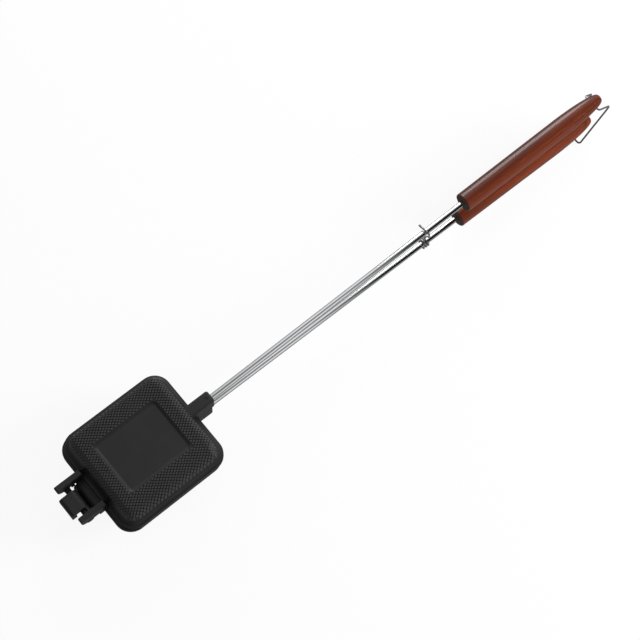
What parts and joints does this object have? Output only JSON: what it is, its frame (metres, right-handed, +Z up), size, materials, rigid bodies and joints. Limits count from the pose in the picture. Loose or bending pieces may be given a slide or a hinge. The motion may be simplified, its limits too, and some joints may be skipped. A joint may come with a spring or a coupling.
{
  "type": "pie iron",
  "caption": "Hinged cast-iron pie iron: square pans on steel rods with wooden handles, a wire latch round the rods and a wire bail at the handle ends.",
  "frame": {"origin": "middle of the upper pan on the parting plane between the two castings", "axes": "+X along the rods towards the handles, +Y to the left, +Z up out of the upper pan's back"},
  "size_m": [0.7123, 0.116, 0.0646],
  "materials": {
    "casting": "black seasoned casting, satin",
    "pin_steel": "plain steel, darkened",
    "rod_chrome": "bright plated rod",
    "wire_steel": "bright plated wire",
    "handle_wood": "red-brown stain under clear varnish"
  },
  "bodies": {
    "lower_half": {"lower_iron": "casting", "lower_rod": "rod_chrome", "lower_rod_pin": "pin_steel", "lower_handle": "handle_wood"},
    "upper_half": {"upper_iron": "casting", "hinge_pin": "pin_steel", "upper_rod": "rod_chrome", "upper_rod_pin": "pin_steel", "upper_handle": "handle_wood"},
    "latch": {"latch_wire": "wire_steel"},
    "bail": {"bail_wire": "wire_steel"}
  },
  "joints": [
    {"name": "pan_hinge", "type": "hinge", "parent": "lower_half", "child": "upper_half", "pos_m": [-0.0799, 0, 0.001], "axis": [0, -1, 0], "range_deg": [0, 180]},
    {"name": "latch_swing", "type": "hinge", "parent": "lower_half", "child": "latch", "pos_m": [0.3625, 0, -0.0153], "axis": [0.9997, 0, -0.024], "range_deg": [0, 330]},
    {"name": "bail_swing", "type": "hinge", "parent": "upper_half", "child": "bail", "pos_m": [0.6002, 0, 0.02095], "axis": [0, -1, 0], "range_deg": [-5, 270]}
  ]
}
